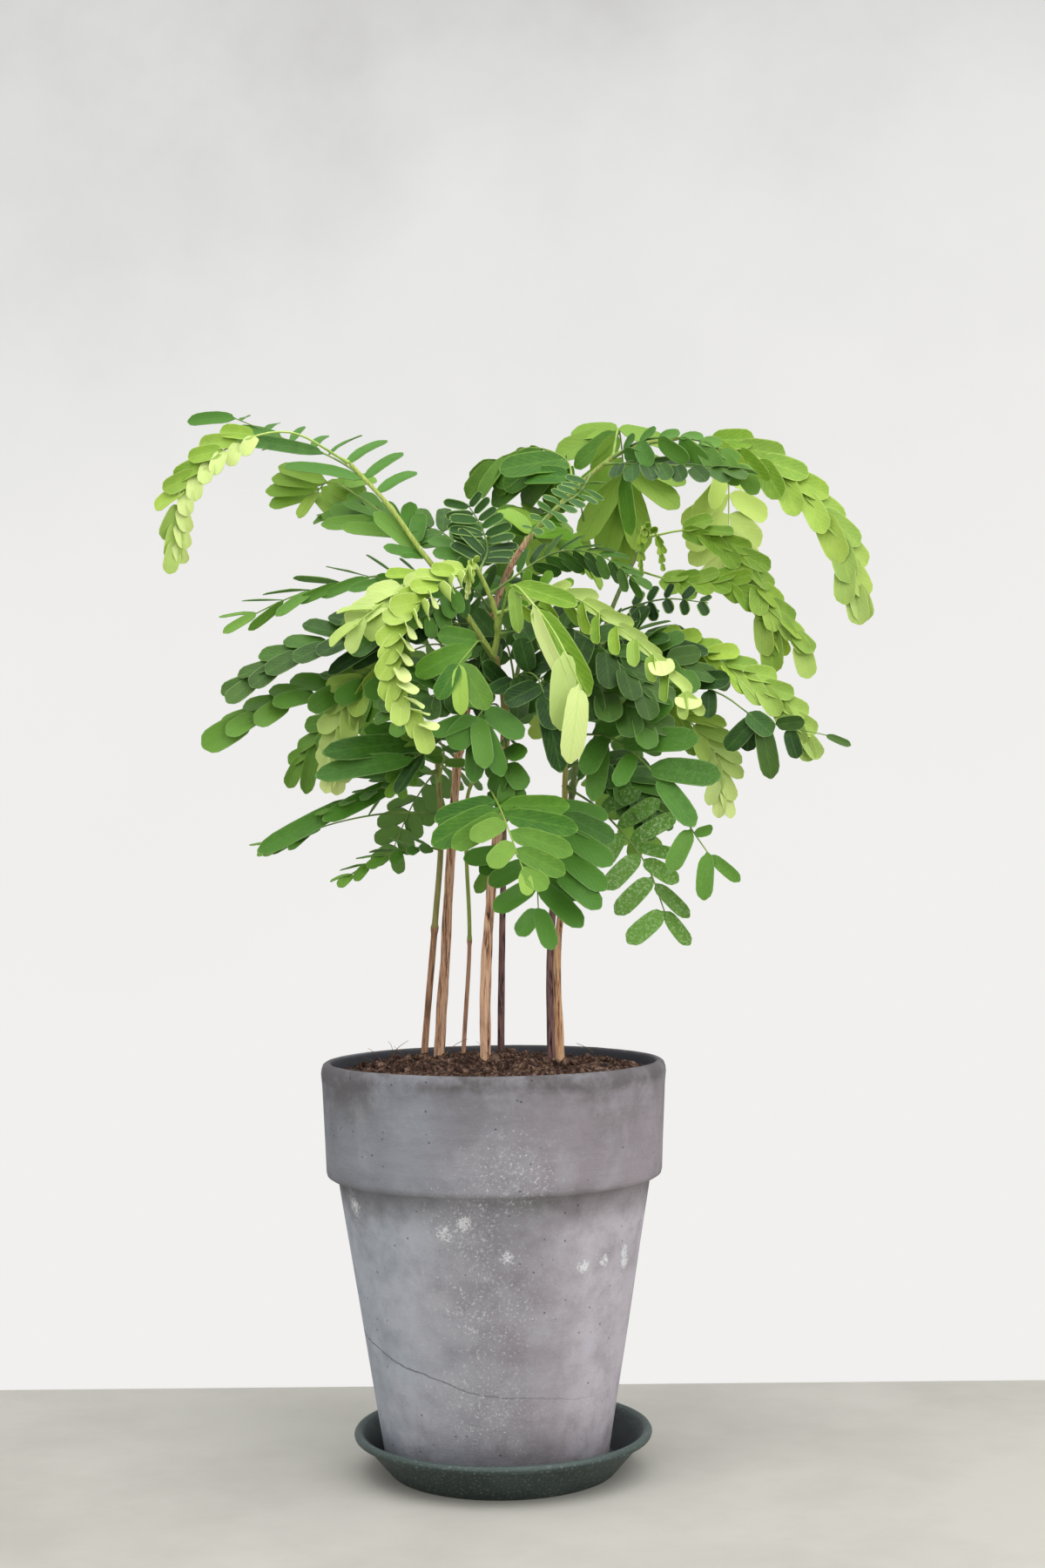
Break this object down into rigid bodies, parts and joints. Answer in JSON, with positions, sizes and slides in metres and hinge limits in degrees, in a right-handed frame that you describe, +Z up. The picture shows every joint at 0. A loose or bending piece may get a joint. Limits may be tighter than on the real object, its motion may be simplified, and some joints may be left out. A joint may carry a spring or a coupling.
{
  "type": "potted tamarind tree",
  "caption": "Young tamarind stems with arching feathery fronds, growing together in a tall tapered clay pot that stands in a shallow flared saucer.",
  "frame": {"origin": "centre of the saucer's flat underside", "axes": "+Z up along the stems, -Y towards the front that the picture shows, +X to its right"},
  "size_m": [0.2786, 0.194, 0.444],
  "materials": {
    "weathered_clay": "rough unglazed clay, grey with pale salt bloom and fine pits",
    "saucer_plastic": "moulded dark green black plastic with a fine pale speckle",
    "potting_soil": "loose dark compost with brown fibres",
    "bark": "thin pinkish brown bark that peels along dark cracks",
    "dark_bark": "dark purple brown bark with fine stripes",
    "green_stem": "smooth olive green young stem",
    "leaf_mature": "satin blue green leaflets with a pale edge and midrib",
    "leaf_mid": "satin mid green leaflets with a pale edge and midrib",
    "leaf_lime": "soft young leaflets, lime green and thin",
    "leaf_pale": "newly opened leaflets, pale yellow green"
  },
  "bodies": {
    "root": {"saucer": "saucer_plastic", "pot": "weathered_clay", "soil": "potting_soil", "stem_far_left": "green_stem", "stem_left": "bark", "stem_slender": "green_stem", "stem_centre": "bark", "stem_back": "dark_bark", "stem_right": "dark_bark", "stem_pale": "bark", "frond_left_tip_arch": "leaf_lime", "frond_left_top_blade": "leaf_mature", "frond_left_top_back": "leaf_mid", "frond_left_grey": "leaf_mature", "frond_top_comb": "leaf_mature", "frond_top_cells": "leaf_mature", "frond_top_broad": "leaf_mature", "frond_top_back": "leaf_lime", "frond_right_top_dark": "leaf_mature", "frond_right_top_arch": "leaf_lime", "frond_right_top_low": "leaf_mature", "frond_right_top_hanging": "leaf_mid", "frond_centre_dark_arch": "leaf_mature", "frond_right_upper_lime": "leaf_lime", "frond_right_middle": "leaf_mid", "frond_right_small_dark": "leaf_mature", "frond_right_inner": "leaf_mature", "frond_centre_lime_tip": "leaf_lime", "frond_centre_big_lime": "leaf_lime", "frond_centre_feather": "leaf_pale", "frond_centre_cup": "leaf_lime", "frond_left_dark_edge": "leaf_mature", "frond_left_long": "leaf_mature", "frond_left_long_low": "leaf_mature", "frond_left_lime_hanging": "leaf_lime", "frond_left_back": "leaf_mature", "frond_left_big_leaflets": "leaf_mature", "frond_low_left_upper": "leaf_mature", "frond_low_left_long": "leaf_mature", "frond_low_left_hanging": "leaf_mature", "frond_low_front": "leaf_mid", "frond_low_front_tip": "leaf_mature", "frond_low_front_right": "leaf_mature", "frond_low_right_mottled": "leaf_mature", "frond_low_right_big": "leaf_mature", "frond_right_lower_lime": "leaf_lime", "frond_right_dark_long": "leaf_mature", "frond_right_low_lime": "leaf_lime", "frond_centre_dark": "leaf_mature", "frond_centre_mid": "leaf_mid", "frond_centre_blue": "leaf_mature", "frond_centre_low": "leaf_mid", "frond_centre_shadow": "leaf_mature", "frond_back_left": "leaf_mid", "frond_back_high": "leaf_mature", "frond_back_right": "leaf_mature", "frond_back_low_left": "leaf_mature", "frond_back_low_right": "leaf_mid", "frond_back_crown": "leaf_mid", "frond_back_middle": "leaf_lime"}
  },
  "joints": []
}
